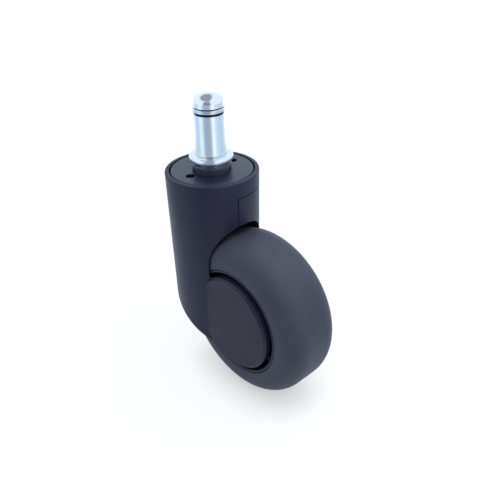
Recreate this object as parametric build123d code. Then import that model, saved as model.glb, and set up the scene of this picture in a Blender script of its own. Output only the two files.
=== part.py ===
from build123d import *
import math
import os

# Office chair castor: a round hooded housing that swivels on a grip-ring stem, with one wheel between
# its two side discs. Millimetres, +Z up, wheel axle along Y, trail along +X.
# The origin is on the stem's axis, at the top of its collar, where the stem enters the chair's base.

# Stem
STEM_D = 11.0
STEM_LENGTH = 22.2
STEM_TIP_ROUND = 2.2
COLLAR_D = 16.4
COLLAR_THICK = 2.6
COLLAR_ROUND = 1.0
NECK_D = 13.0
JOURNAL_D = 8.0
JOURNAL_END_CHAMFER = 0.8
JOURNAL_END_ROOM = 0.6
RING_GROOVE_BASE = 15.15
RING_GROOVE_HEIGHT = 2.6
RING_GROOVE_DEPTH = 0.8
RING_LIFT = 0.65
RING_THICK = 1.5
RING_OUTER_D = 11.4
RING_SPLIT = 2.5
RING_EDGE = 0.3

# Housing
HOUSING_D = 35.2
HOUSING_DRAFT = 0.6
HOUSING_TOP_DROP = 6.0
RIM_ROUND = 0.5
FOOT_ANGLE = 37.6
FOOT_MARGIN = 2.25
FOOT_ROUND = 0.4
CORE_D = 25.0
CORE_DEPTH = 14.5
BORE_DEPTH = 18.4

# Cheek, the far half of the hood below the top ring
SPLIT_Y = -2.6
SPLIT_DROP = 6.0
SEAM_WIDTH = 0.3
SEAM_DEPTH = 0.45
CHEEK_GAP = 0.05
SCREW_X = 9.2
SCREW_DROP = 10.6
SCREW_D = 2.5
SCREW_LENGTH = 13.0
SCREW_HEAD_D = 4.8
SCREW_HEAD_THICK = 1.7
SCREW_HEAD_EDGE = 0.7
SCREW_SINK = 3.6
SCREW_POCKET_D = 5.4
SCREW_HOLE_ROOM = 0.5
SCREW_SLOT = 0.8
SCREW_SLOT_LENGTH = 2.6

# Wheel and its place
WHEEL_D = 64.0
WHEEL_WIDTH = 24.6
TRAIL = 23.4
AXLE_DROP = 52.5
TREAD_ROUND = 8.0
SIDE_LAND = 1.0
DISC_GAP = 1.6
OPENING_ROUND = 0.6
LIP_WIDTH = 0.95
LIP_GROOVE = 0.3
LIP_GROOVE_DEPTH = 0.3
LIP_CHAMFER = 0.15
RIM_WALL = 2.2
RIM_SHOULDER_Y = 10.6
TYRE_FIT = 0.04
HUB_D = 18.0
HUB_WIDTH = 15.0
WEB_THICK = 3.6
HUB_TAPER = 0.5
RIB_COUNT = 8
RIB_THICK = 1.8
RIB_TOP_Y = 6.6

# Side discs
DISC_D = 37.5
DISC_FACE_Y = 14.1
DISC_THICK = 3.2
DISC_EDGE = 0.9
DISC_BLEND = 2.4
BLEND_SHARE = 0.7
BOSS_D = 15.0
BOSS_FACE_Y = 9.0

# Wheel well, the room inside the hood
WELL_GAP_SIDE = 0.8
WELL_GAP_TOP = 3.9
WELL_ROUND = 12.2
WELL_CORNER = 1.4

# Cap over the swivel bearing
TOP_RING = 1.55
CAP_GAP = 0.55
CAP_THICK = 2.4
CAP_BORE_D = 14.0
CAP_EDGE = 0.3
CAP_HOLE_D = 3.5
CAP_HOLE_CIRCLE_D = 20.4
CAP_HOLE_DEPTH = 7.0
CAP_HOLE_ANGLES = (90, 180, 270)

# Swivel bearing
BUSH_D = 13.0
BUSH_RUN_CLEARANCE = 0.05
BUSH_FLANGE_D = 13.6
UPPER_BUSH_TOP = 1.0
UPPER_BUSH_DEPTH = 7.0
LOWER_BUSH_DEPTH = 14.0
WASHER_D = 14.9
WASHER_THICK = 1.9
WASHER_ROUND = 0.5
CLIP_D = 11.6
CLIP_THICK = 0.9
CLIP_GROOVE_DEPTH = 0.6
CLIP_GAP = 0.15
CLIP_MOUTH = 3.4

# Axle and hub
AXLE_D = 8.0
AXLE_NEAR_END_Y = 12.6
AXLE_FAR_END_Y = 10.4
AXLE_CHAMFER = 0.5
AXLE_SCREW_D = 5.0
AXLE_SCREW_LENGTH = 9.0
AXLE_SCREW_HEAD_D = 9.6
AXLE_SCREW_HEAD_THICK = 1.7
AXLE_SCREW_POCKET_D = 10.4
AXLE_SCREW_ROOM = 1.0
AXLE_WALL_Y = 11.2
PLUG_D = 12.4
PLUG_THICK = 1.0
PLUG_EDGE = 0.25
HEX_ACROSS = 4.0
HEX_DEPTH = 1.0
HUB_BUSH_D = 12.4
HUB_BUSH_FLANGE_D = 15.2
HUB_BUSH_FLANGE = 0.8
HUB_BUSH_LENGTH = 6.6
HUB_WASHER_D = 13.6
HUB_WASHER_THICK = 0.5
FIT = 0.03

# How near two places count as the same, and how far a cut goes past the face that it opens
SAME = 0.01
PAST = 1.0

# Sizes and places worked out from the sizes above
HOUSING_TOP = -HOUSING_TOP_DROP
AXLE_Z = HOUSING_TOP - AXLE_DROP
WELL_HALF = WHEEL_WIDTH / 2 + WELL_GAP_SIDE
WELL_R = WHEEL_D / 2 + WELL_GAP_TOP
SPLIT_Z = HOUSING_TOP - SPLIT_DROP
WASHER_TOP = HOUSING_TOP + UPPER_BUSH_TOP + WASHER_THICK
JOURNAL_END = HOUSING_TOP - BORE_DEPTH + JOURNAL_END_ROOM
CLIP_TOP = HOUSING_TOP - LOWER_BUSH_DEPTH - CLIP_GAP
FOOT_REACH = DISC_D / 2 + FOOT_MARGIN
OPENING_D = DISC_D + 2 * DISC_GAP
LIP_D = OPENING_D + 2 * LIP_WIDTH
RIM_D = LIP_D + 2 * RIM_WALL
CAP_POCKET_D = HOUSING_D - 2 * TOP_RING
CAP_D = CAP_POCKET_D - 2 * CAP_GAP
SCREW_HEAD_Y = math.sqrt((HOUSING_D / 2) ** 2 - SCREW_X**2) - SCREW_SINK
AT_AXLE = Pos(TRAIL, 0, AXLE_Z)

os.makedirs("parts", exist_ok=True)


def turned(points):
    """A solid turned about Z from a half profile of (radius, height) points."""
    return revolve(Plane.XZ * make_face(Polyline(*points, close=True)), Axis.Z)


def circles(shape, diameter):
    """The shape's circular edges of one diameter."""
    round_edges = shape.edges().filter_by(GeomType.CIRCLE)
    return [edge for edge in round_edges if abs(edge.radius - diameter / 2) < SAME]


def ring_z(outer_d, inner_d, low, high):
    """A plain ring about Z between two heights."""
    return turned([(inner_d / 2, low), (outer_d / 2, low), (outer_d / 2, high), (inner_d / 2, high)])


def about_axle(face):
    """Turns a face, drawn as (radius, width) with the axle at radius 0, about the wheel's axle."""
    return AT_AXLE * Rot(-90, 0, 0) * revolve(Plane.XZ * face, Axis.Z)


def turned_on_axle(points):
    """A solid turned about the wheel's axle from a half profile of (radius, width) points."""
    return about_axle(make_face(Polyline(*points, close=True)))


def ring_y(outer_d, inner_d, near, far):
    """A plain ring about the wheel's axle between two places across the width."""
    return turned_on_axle([(inner_d / 2, near), (outer_d / 2, near), (outer_d / 2, far), (inner_d / 2, far)])


def outer_corners(face, radius, half):
    """The corners of a turned profile at one radius, on the outside of both flanks."""
    return [v for v in face.vertices() if abs(v.X - radius) < SAME and abs(v.Y) > half - SAME]


def rounded_flank(radius, half, corner):
    """The outline over the wheel from side to side: flat middle and rounded shoulders."""
    middle = half - corner
    low = corner * (1 - math.sqrt(0.5))
    near = ThreePointArc((radius - corner, -half), (radius - low, -half + low), (radius, -middle))
    far = ThreePointArc((radius, middle), (radius - low, half - low), (radius - corner, half))
    return near, Line((radius, -middle), (radius, middle)), far


def make_stem():
    stem_r = STEM_D / 2
    body = turned([
        (0, JOURNAL_END),
        (JOURNAL_D / 2, JOURNAL_END),
        (JOURNAL_D / 2, WASHER_TOP),
        (NECK_D / 2, WASHER_TOP),
        (NECK_D / 2, -COLLAR_THICK),
        (COLLAR_D / 2, -COLLAR_THICK),
        (COLLAR_D / 2, 0),
        (stem_r, 0),
        (stem_r, STEM_LENGTH),
        (0, STEM_LENGTH),
    ])
    tip = body.edges().filter_by(GeomType.CIRCLE).group_by(Axis.Z)[-1]
    body = fillet(tip, STEM_TIP_ROUND)
    end = body.edges().filter_by(GeomType.CIRCLE).group_by(Axis.Z)[0]
    body = chamfer(end, JOURNAL_END_CHAMFER)
    body = fillet(circles(body, COLLAR_D), COLLAR_ROUND)
    groove_top = RING_GROOVE_BASE + RING_GROOVE_HEIGHT
    body -= ring_z(STEM_D + PAST, STEM_D - 2 * RING_GROOVE_DEPTH, RING_GROOVE_BASE, groove_top)
    clip_seat = ring_z(JOURNAL_D + PAST, JOURNAL_D - 2 * CLIP_GROOVE_DEPTH, CLIP_TOP - CLIP_THICK, CLIP_TOP)
    return body - clip_seat


def make_snap_ring():
    inner_d = STEM_D - 2 * RING_GROOVE_DEPTH + 2 * FIT
    low = RING_GROOVE_BASE + RING_LIFT
    ring = ring_z(RING_OUTER_D, inner_d, low, low + RING_THICK)
    ring = chamfer(circles(ring, RING_OUTER_D), RING_EDGE)
    slot = Pos(-RING_OUTER_D / 2, 0, low) * Box(RING_OUTER_D, RING_SPLIT, 4 * RING_THICK)
    return ring - slot


def make_stem_clip():
    clip = ring_z(CLIP_D, JOURNAL_D - 2 * CLIP_GROOVE_DEPTH + 2 * FIT, CLIP_TOP - CLIP_THICK, CLIP_TOP)
    mouth = Pos(-CLIP_D / 2, 0, CLIP_TOP) * Box(CLIP_D, CLIP_MOUTH, 4 * CLIP_THICK)
    return clip - mouth


def make_thrust_washer():
    low = HOUSING_TOP + UPPER_BUSH_TOP
    washer = ring_z(WASHER_D, JOURNAL_D + 2 * FIT, low, WASHER_TOP)
    return fillet(circles(washer, WASHER_D), WASHER_ROUND)


def make_upper_bush():
    bore = JOURNAL_D / 2 + BUSH_RUN_CLEARANCE
    low = HOUSING_TOP - UPPER_BUSH_DEPTH
    seat = HOUSING_TOP - CAP_THICK
    return turned([
        (bore, low),
        (BUSH_D / 2 - FIT, low),
        (BUSH_D / 2 - FIT, seat),
        (BUSH_FLANGE_D / 2, seat),
        (BUSH_FLANGE_D / 2, HOUSING_TOP + UPPER_BUSH_TOP),
        (bore, HOUSING_TOP + UPPER_BUSH_TOP),
    ])


def make_lower_bush():
    bore = JOURNAL_D + 2 * BUSH_RUN_CLEARANCE
    return ring_z(BUSH_D - 2 * FIT, bore, HOUSING_TOP - LOWER_BUSH_DEPTH, HOUSING_TOP - UPPER_BUSH_DEPTH)


def make_well():
    """The room for the wheel, as a solid: wide over the tyre, narrow between the side discs."""
    near, crown, far = rounded_flank(WELL_R, WELL_HALF, WELL_ROUND)
    inner = DISC_FACE_Y - DISC_THICK
    disc_r = DISC_D / 2
    edge_r = WELL_R - WELL_ROUND
    low = Polyline(
        (edge_r, WELL_HALF),
        (disc_r, WELL_HALF),
        (disc_r, inner),
        (BOSS_D / 2, inner),
        (BOSS_D / 2, BOSS_FACE_Y),
        (0, BOSS_FACE_Y),
        (0, -BOSS_FACE_Y),
        (BOSS_D / 2, -BOSS_FACE_Y),
        (BOSS_D / 2, -inner),
        (disc_r, -inner),
        (disc_r, -WELL_HALF),
        (edge_r, -WELL_HALF),
    )
    face = make_face(Wire([near, crown, far] + low.edges()))
    return about_axle(fillet(outer_corners(face, disc_r, WELL_HALF), WELL_CORNER))


def tower_radius(z):
    """The tapered cylinder's outer radius at a height."""
    return HOUSING_D / 2 - (HOUSING_TOP - z) * math.tan(math.radians(HOUSING_DRAFT))


def make_tower(inset=0.0):
    """The tapered cylinder, down past the wheel, with its wall moved in by an inset."""
    low_z = AXLE_Z - WHEEL_D / 2
    return turned([
        (0, low_z),
        (tower_radius(low_z) - inset, low_z),
        (tower_radius(HOUSING_TOP) - inset, HOUSING_TOP),
        (0, HOUSING_TOP),
    ])


def make_hood():
    """The whole hood before it is split: tapered cylinder, slanted foot, side discs and well."""
    foot = AT_AXLE * Rot(0, FOOT_ANGLE, 0) * Pos(0, 0, -FOOT_REACH - WHEEL_D / 2)
    tower = make_tower() - foot * Box(4 * WHEEL_D, WHEEL_D, WHEEL_D)
    disc = turned_on_axle([
        (0, -DISC_FACE_Y),
        (DISC_D / 2 - DISC_EDGE, -DISC_FACE_Y),
        (DISC_D / 2, -DISC_FACE_Y + DISC_EDGE),
        (DISC_D / 2, DISC_FACE_Y - DISC_EDGE),
        (DISC_D / 2 - DISC_EDGE, DISC_FACE_Y),
        (0, DISC_FACE_Y),
    ])
    hood = tower + disc
    on_faces = [edge for edge in hood.edges() if abs(abs(edge.center().Y) - DISC_FACE_Y) < SAME]
    creases = [edge for edge in on_faces if edge.geom_type != GeomType.CIRCLE]
    hood = fillet(creases, min(DISC_BLEND, BLEND_SHARE * (HOUSING_D / 2 - DISC_FACE_Y)))
    hood = fillet(hood.edges().filter_by(GeomType.ELLIPSE), FOOT_ROUND)
    rim = hood.edges().filter_by(GeomType.CIRCLE).group_by(Axis.Z)[-1]
    hood = fillet(rim, RIM_ROUND)
    return hood - make_well() - make_bores()


def cap_holes(low, high):
    """The three holes of the cap, on a circle with its front place left out."""
    drill = Cylinder(CAP_HOLE_D / 2, high - low, align=(Align.CENTER, Align.CENTER, Align.MIN))
    places = [Rot(0, 0, angle) * Pos(CAP_HOLE_CIRCLE_D / 2, 0, low) for angle in CAP_HOLE_ANGLES]
    return Part() + [place * drill for place in places]


def make_bores():
    """Everything cut into the hood from above: cap pocket, bearing bore and the ends of the cap's holes."""
    pocket = ring_z(CAP_POCKET_D, 0, HOUSING_TOP - CAP_THICK, HOUSING_TOP + PAST)
    bore = ring_z(BUSH_D, 0, HOUSING_TOP - BORE_DEPTH, HOUSING_TOP)
    return pocket + bore + cap_holes(HOUSING_TOP - CAP_HOLE_DEPTH, HOUSING_TOP)


def make_seam():
    """The narrow groove that shows where the cheek meets the housing."""
    height = SPLIT_Z - AXLE_Z + WHEEL_D
    upright = Pos(0, SPLIT_Y, SPLIT_Z - height / 2) * Box(2 * HOUSING_D, SEAM_WIDTH, height)
    level_y = SPLIT_Y - SEAM_WIDTH / 2 + HOUSING_D / 2
    level = Pos(0, level_y, SPLIT_Z) * Box(2 * HOUSING_D, HOUSING_D, SEAM_WIDTH)
    return upright + level - make_tower(SEAM_DEPTH)


def make_cheek_region():
    """The space that the cheek takes: the far side below the top ring, round the bearing core."""
    depth = SPLIT_Z - AXLE_Z + WHEEL_D
    width = WHEEL_D
    block = Pos(TRAIL, SPLIT_Y + width / 2, SPLIT_Z - depth / 2) * Box(3 * WHEEL_D, width, depth)
    return block - ring_z(CORE_D, 0, HOUSING_TOP - CORE_DEPTH, HOUSING_TOP)


def make_cheek_screw():
    """One pan-head screw along -Y, with its head seated at the bottom of its pocket."""
    body = turned([
        (0, -SCREW_LENGTH),
        (SCREW_D / 4, -SCREW_LENGTH),
        (SCREW_D / 2, -SCREW_LENGTH + SCREW_D / 2),
        (SCREW_D / 2, 0),
        (SCREW_HEAD_D / 2, 0),
        (SCREW_HEAD_D / 2, SCREW_HEAD_THICK - SCREW_HEAD_EDGE),
        (SCREW_HEAD_D / 2 - SCREW_HEAD_EDGE, SCREW_HEAD_THICK),
        (0, SCREW_HEAD_THICK),
    ])
    slot = [
        Pos(0, 0, SCREW_HEAD_THICK) * Rot(0, 0, turn) * Box(SCREW_SLOT_LENGTH, SCREW_SLOT, SCREW_HEAD_THICK)
        for turn in (45, 135)
    ]
    return body - slot


def cheek_screw_places():
    return [Pos(side * SCREW_X, SCREW_HEAD_Y, HOUSING_TOP - SCREW_DROP) * Rot(-90, 0, 0) for side in (-1, 1)]


def make_screw_holes():
    """Pockets for the screw heads, with the holes that the screws pass through."""
    pocket = turned([
        (0, -SCREW_LENGTH - SCREW_HOLE_ROOM),
        (SCREW_D / 2 + FIT, -SCREW_LENGTH - SCREW_HOLE_ROOM),
        (SCREW_D / 2 + FIT, 0),
        (SCREW_POCKET_D / 2, 0),
        (SCREW_POCKET_D / 2, HOUSING_D / 2),
        (0, HOUSING_D / 2),
    ])
    return Part() + [place * pocket for place in cheek_screw_places()]


def make_housing(hood):
    socket = ring_y(AXLE_D + 2 * FIT, 0, -AXLE_NEAR_END_Y, 0)
    return hood - make_cheek_region() - make_seam() - make_screw_holes() - socket


def make_cheek(hood):
    gap = ring_z(CORE_D + 2 * CHEEK_GAP, CORE_D - PAST, HOUSING_TOP - CORE_DEPTH, HOUSING_TOP)
    seat = turned_on_axle([
        (0, 0),
        (AXLE_D / 2 + FIT, 0),
        (AXLE_D / 2 + FIT, AXLE_FAR_END_Y),
        (AXLE_SCREW_D / 2 + FIT, AXLE_FAR_END_Y),
        (AXLE_SCREW_D / 2 + FIT, AXLE_WALL_Y),
        (AXLE_SCREW_POCKET_D / 2, AXLE_WALL_Y),
        (AXLE_SCREW_POCKET_D / 2, DISC_FACE_Y - PLUG_THICK),
        (PLUG_D / 2, DISC_FACE_Y - PLUG_THICK),
        (PLUG_D / 2, DISC_FACE_Y + PAST),
        (0, DISC_FACE_Y + PAST),
    ])
    return (hood & make_cheek_region()) - make_seam() - make_screw_holes() - gap - seat


def make_top_cap():
    plate = ring_z(CAP_D, CAP_BORE_D, HOUSING_TOP - CAP_THICK, HOUSING_TOP)
    plate = chamfer(plate.edges().filter_by(GeomType.CIRCLE).group_by(Axis.Z)[-1], CAP_EDGE)
    return plate - cap_holes(HOUSING_TOP - CAP_THICK - PAST, HOUSING_TOP + PAST)


def make_axle():
    """The fixed pin: its near end in the housing's blind socket, its far end bored for the screw."""
    return turned_on_axle([
        (0, -AXLE_NEAR_END_Y),
        (AXLE_D / 2 - AXLE_CHAMFER, -AXLE_NEAR_END_Y),
        (AXLE_D / 2, -AXLE_NEAR_END_Y + AXLE_CHAMFER),
        (AXLE_D / 2, AXLE_FAR_END_Y - AXLE_CHAMFER),
        (AXLE_D / 2 - AXLE_CHAMFER, AXLE_FAR_END_Y),
        (AXLE_SCREW_D / 2 + FIT, AXLE_FAR_END_Y),
        (AXLE_SCREW_D / 2 + FIT, AXLE_WALL_Y - AXLE_SCREW_LENGTH - AXLE_SCREW_ROOM),
        (0, AXLE_WALL_Y - AXLE_SCREW_LENGTH - AXLE_SCREW_ROOM),
    ])


def make_axle_screw():
    head_top = AXLE_WALL_Y + AXLE_SCREW_HEAD_THICK
    screw = turned_on_axle([
        (0, AXLE_WALL_Y - AXLE_SCREW_LENGTH),
        (AXLE_SCREW_D / 2, AXLE_WALL_Y - AXLE_SCREW_LENGTH),
        (AXLE_SCREW_D / 2, AXLE_WALL_Y),
        (AXLE_SCREW_HEAD_D / 2, AXLE_WALL_Y),
        (AXLE_SCREW_HEAD_D / 2, head_top),
        (0, head_top),
    ])
    hexagon = RegularPolygon(HEX_ACROSS / 2, 6, major_radius=False)
    socket = AT_AXLE * Pos(0, head_top, 0) * Rot(90, 0, 0) * extrude(hexagon, HEX_DEPTH)
    return screw - socket


def make_axle_plug():
    face = DISC_FACE_Y
    seat = face - PLUG_THICK
    r = PLUG_D / 2 - FIT
    return turned_on_axle([(0, seat), (r, seat), (r, face - PLUG_EDGE), (r - PLUG_EDGE, face), (0, face)])


def make_hub_washers():
    """The two washers between the bosses and the hub, one on each side."""
    bore = AXLE_D + 2 * FIT
    inner = BOSS_FACE_Y - HUB_WASHER_THICK
    near = ring_y(HUB_WASHER_D, bore, -BOSS_FACE_Y, -inner)
    return near + ring_y(HUB_WASHER_D, bore, inner, BOSS_FACE_Y)


def make_hub_bush(side):
    """A flanged wheel bush, pressed into the hub from one side."""
    bore = AXLE_D / 2 + BUSH_RUN_CLEARANCE
    face = HUB_WIDTH / 2
    points = [
        (bore, face - HUB_BUSH_LENGTH),
        (HUB_BUSH_D / 2 - FIT, face - HUB_BUSH_LENGTH),
        (HUB_BUSH_D / 2 - FIT, face),
        (HUB_BUSH_FLANGE_D / 2, face),
        (HUB_BUSH_FLANGE_D / 2, face + HUB_BUSH_FLANGE),
        (bore, face + HUB_BUSH_FLANGE),
    ]
    return turned_on_axle([(radius, side * width) for radius, width in points])


def make_wheel_core():
    """Hub, web, ribs and rim in one moulding, with the rim's lip showing round each side opening."""
    lip_y = WHEEL_WIDTH / 2
    floor_y = lip_y - LIP_GROOVE_DEPTH
    half = [
        (HUB_BUSH_D / 2, HUB_WIDTH / 2),
        (HUB_D / 2, HUB_WIDTH / 2),
        (HUB_D / 2 + HUB_TAPER, WEB_THICK / 2),
        (OPENING_D / 2 - HUB_TAPER, WEB_THICK / 2),
        (OPENING_D / 2, lip_y),
        (LIP_D / 2, lip_y),
        (LIP_D / 2, floor_y),
        (RIM_D / 2, RIM_SHOULDER_Y),
    ]
    mirrored = [(radius, -width) for radius, width in reversed(half)]
    face = make_face(Polyline(*half, *mirrored, close=True))
    face = fillet(outer_corners(face, OPENING_D / 2, lip_y), OPENING_ROUND)
    core = about_axle(chamfer(outer_corners(face, LIP_D / 2, lip_y), LIP_CHAMFER))
    spoke = Box(OPENING_D / 2 - HUB_D / 2, RIB_THICK, 2 * RIB_TOP_Y)
    reach = (OPENING_D + HUB_D) / 4
    for index in range(RIB_COUNT):
        core += AT_AXLE * Rot(-90, 0, 0) * Rot(0, 0, index * 360 / RIB_COUNT) * Pos(reach, 0, 0) * spoke
    return core


def make_tyre():
    """The soft tyre round the rim, with full shoulders and a narrow groove beside the lip."""
    half = WHEEL_WIDTH / 2
    inner_r = LIP_D / 2 + LIP_GROOVE
    shoulder = min(TREAD_ROUND, WHEEL_D / 2 - inner_r - SIDE_LAND)
    near, tread, far = rounded_flank(WHEEL_D / 2, half, shoulder)
    floor_y = half - LIP_GROOVE_DEPTH
    slope = (floor_y - RIM_SHOULDER_Y) / (RIM_D / 2 - LIP_D / 2)
    seat_y = floor_y - slope * LIP_GROOVE + TYRE_FIT
    seat_r = RIM_D / 2 + TYRE_FIT
    shoulder_r = WHEEL_D / 2 - shoulder
    inside = Polyline(
        (shoulder_r, half),
        (inner_r, half),
        (inner_r, seat_y),
        (seat_r, RIM_SHOULDER_Y + TYRE_FIT),
        (seat_r, -RIM_SHOULDER_Y - TYRE_FIT),
        (inner_r, -seat_y),
        (inner_r, -half),
        (shoulder_r, -half),
    )
    face = make_face(Wire([near, tread, far] + inside.edges()))
    return about_axle(chamfer(outer_corners(face, inner_r, half), LIP_CHAMFER))


def export(name, shape):
    export_step(shape, f"parts/{name}.step")


if __name__ == "__main__":
    hood = make_hood()
    export("stem", make_stem())
    export("snap_ring", make_snap_ring())
    export("stem_clip", make_stem_clip())
    export("thrust_washer", make_thrust_washer())
    export("housing", make_housing(hood))
    export("cheek", make_cheek(hood))
    export("cheek_screws", Compound(children=[place * make_cheek_screw() for place in cheek_screw_places()]))
    export("top_cap", make_top_cap())
    export("upper_bush", make_upper_bush())
    export("lower_bush", make_lower_bush())
    export("axle", make_axle())
    export("axle_screw", make_axle_screw())
    export("axle_plug", make_axle_plug())
    export("hub_washers", make_hub_washers())
    export("wheel_core", make_wheel_core())
    export("tyre", make_tyre())
    export("hub_bush_near", make_hub_bush(-1))
    export("hub_bush_far", make_hub_bush(1))
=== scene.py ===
import math

import bpy
from bpy.props import FloatProperty, FloatVectorProperty, IntProperty, PointerProperty
from mathutils import Matrix, Vector


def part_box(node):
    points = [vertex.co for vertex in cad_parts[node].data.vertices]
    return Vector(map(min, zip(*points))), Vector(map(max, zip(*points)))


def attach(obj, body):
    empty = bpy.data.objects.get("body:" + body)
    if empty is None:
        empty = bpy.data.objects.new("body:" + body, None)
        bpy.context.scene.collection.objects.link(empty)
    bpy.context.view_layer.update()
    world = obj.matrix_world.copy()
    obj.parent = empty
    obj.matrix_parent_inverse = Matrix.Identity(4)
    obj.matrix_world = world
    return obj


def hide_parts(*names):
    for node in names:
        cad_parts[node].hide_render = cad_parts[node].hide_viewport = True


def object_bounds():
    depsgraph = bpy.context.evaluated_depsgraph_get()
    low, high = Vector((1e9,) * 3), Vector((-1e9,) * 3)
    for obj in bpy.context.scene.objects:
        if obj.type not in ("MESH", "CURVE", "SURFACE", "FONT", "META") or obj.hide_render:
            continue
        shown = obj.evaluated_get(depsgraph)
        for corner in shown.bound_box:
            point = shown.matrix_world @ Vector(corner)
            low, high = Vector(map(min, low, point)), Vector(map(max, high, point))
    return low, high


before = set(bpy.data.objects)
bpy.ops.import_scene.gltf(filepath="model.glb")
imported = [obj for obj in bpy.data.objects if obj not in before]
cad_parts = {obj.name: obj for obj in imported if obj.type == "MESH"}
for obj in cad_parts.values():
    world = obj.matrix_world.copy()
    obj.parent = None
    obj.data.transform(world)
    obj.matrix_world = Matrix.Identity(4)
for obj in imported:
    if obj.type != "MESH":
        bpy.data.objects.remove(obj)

bl_info = {
    "name": "Hooded Chair Castor",
    "version": (1, 0, 0),
    "blender": (4, 5, 0),
    "location": "3D View > Sidebar > Castor",
    "description": "Dresses the castor's solids and sets a plain white studio round them",
    "category": "Object",
}

CAD_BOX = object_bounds()

# The wheel's axle, from the tyre solid's own box
TYRE_LOW, TYRE_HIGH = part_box("tyre")
AXLE = (TYRE_LOW + TYRE_HIGH) / 2
WHEEL_RADIUS = (TYRE_HIGH.z - TYRE_LOW.z) / 2
TYRE_HALF = (TYRE_HIGH.y - TYRE_LOW.y) / 2

# The stem's ends, from the stem solid's own box
STEM_LOW, STEM_TOP = (corner.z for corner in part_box("stem"))

MM = 0.001


def linear(red, green, blue):
    """A screen colour of 0 to 255 as the linear colour that shaders use."""
    def channel(value):
        value /= 255
        return value / 12.92 if value <= 0.04045 else ((value + 0.055) / 1.055) ** 2.4
    return channel(red), channel(green), channel(blue)


def colour(name, description, red, green, blue):
    return FloatVectorProperty(
        name=name, description=description, subtype="COLOR", size=3, min=0, max=1,
        default=linear(red, green, blue),
    )


def length(name, description, value):
    return FloatProperty(
        name=name, description=description, default=value, min=0, unit="LENGTH", precision=5,
    )


def shift(name, description, value):
    return FloatProperty(name=name, description=description, default=value, unit="LENGTH", precision=5)


def slant(name, description, degrees):
    return FloatProperty(name=name, description=description, default=math.radians(degrees), unit="ROTATION")


def watts(name, description, value):
    return FloatProperty(name=name, description=description, default=value, min=0, unit="POWER")


def share(name, description, value):
    return FloatProperty(name=name, description=description, default=value, min=0, max=1, subtype="FACTOR")


class CastorFinish(bpy.types.PropertyGroup):
    """Colours and surface of the castor's materials."""
    housing_colour: colour("Housing", "Colour of the moulded hood and its cheek", 40, 39, 60)
    cap_colour: colour("Cap", "Colour of the round cap over the bearing", 32, 32, 57)
    core_colour: colour("Wheel core", "Colour of the wheel's hard core", 38, 42, 57)
    tyre_colour: colour("Tyre", "Colour of the soft tyre", 72, 75, 89)
    washer_colour: colour("Washer", "Colour of the washer under the collar", 70, 74, 92)
    bush_colour: colour("Bush", "Colour of the bearing bushes", 205, 203, 196)
    zinc_colour: colour("Zinc", "Colour of the plated steel", 240, 244, 250)
    spring_colour: colour("Spring steel", "Colour of the grip ring and the clip", 214, 220, 228)
    housing_roughness: share("Housing roughness", "Roughness of the moulded plastic", 0.42)
    tyre_roughness: share("Tyre roughness", "Roughness of the soft tyre", 0.55)
    zinc_roughness: share("Zinc roughness", "Roughness of the plated steel", 0.16)
    grain_size: length("Grain", "Width of one grain of the moulded texture", 0.22 * MM)
    grain_depth: length("Grain depth", "Depth of the moulded texture", 0.012 * MM)
    # The rubbed line along the edges is also painted paler, a painted highlight
    edge_width: length("Edge width", "How far the rubbed line reaches in from an edge", 0.35 * MM)
    # The side discs' flat faces are painted darker, a painted shade, besides being duller
    disc_radius: length("Disc radius", "Radius of the side discs, whose flat faces are duller", 18.7 * MM)
    disc_face: length("Disc face", "How far from the wheel's middle the side discs' faces lie", 14.1 * MM)


class CastorStem(bpy.types.PropertyGroup):
    """Sizes of the stem's own outline, which is turned about its axis from the top of the collar."""
    shank: length("Shank", "Radius of the shank", 5.5 * MM)
    tip_round: length("Tip round", "Radius of the tip's rounded edge", 2.6 * MM)
    tip_slope: slant("Tip slope", "Slope of the domed tip where its rounded edge begins", 20)
    groove_low: length("Groove from", "Height of the ring groove's lower side", 15.15 * MM)
    groove_high: length("Groove to", "Height of the ring groove's upper side", 17.75 * MM)
    groove_depth: length("Groove depth", "Depth of the ring groove", 0.8 * MM)
    foot_round: length("Foot round", "Radius in the corner between shank and collar", 0.25 * MM)
    collar: length("Collar", "Radius of the collar", 8.2 * MM)
    collar_thick: length("Collar thickness", "Thickness of the collar", 2.6 * MM)
    collar_round: length("Collar round", "Radius of the collar's two edges", 1.0 * MM)
    neck: length("Neck", "Radius of the neck under the collar", 6.5 * MM)
    neck_drop: length("Neck drop", "How far the neck's end lies below the collar's top", 3.1 * MM)
    journal: length("Journal", "Radius of the journal", 4.0 * MM)
    journal_chamfer: length("Journal chamfer", "Chamfer of the journal's end", 0.8 * MM)
    clip_drop: length("Clip drop", "How far the clip's groove lies below the collar's top", 20.15 * MM)
    clip_height: length("Clip height", "Height of the clip's groove", 0.9 * MM)
    clip_depth: length("Clip depth", "Depth of the clip's groove", 0.6 * MM)
    turns: IntProperty(name="Segments", description="Segments round the stem", default=160, min=24)


class CastorTyre(bpy.types.PropertyGroup):
    """Sizes of the tyre's own outline, which is turned about the axle."""
    shoulder: length("Shoulder", "Radius of the rounded shoulders", 8.0 * MM)
    bead_radius: length("Bead radius", "Radius at which the side face ends beside the rim's lip", 21.6 * MM)
    seat_radius: length("Seat radius", "Radius of the seat on the rim", 23.54 * MM)
    seat_half: length("Seat half width", "Half width of the seat on the rim", 10.64 * MM)
    bead_half: length("Bead half width", "Half width at the bottom of the lip's groove", 11.85 * MM)
    bead_round: length("Bead round", "Radius of the side face's inner edge", 0.15 * MM)
    seam_height: length("Seam height", "Height of the mould's parting line round the tread", 0.03 * MM)
    seam_width: length("Seam width", "Width of the mould's parting line round the tread", 0.35 * MM)
    turns: IntProperty(name="Segments", description="Segments round the wheel", default=256, min=24)


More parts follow.
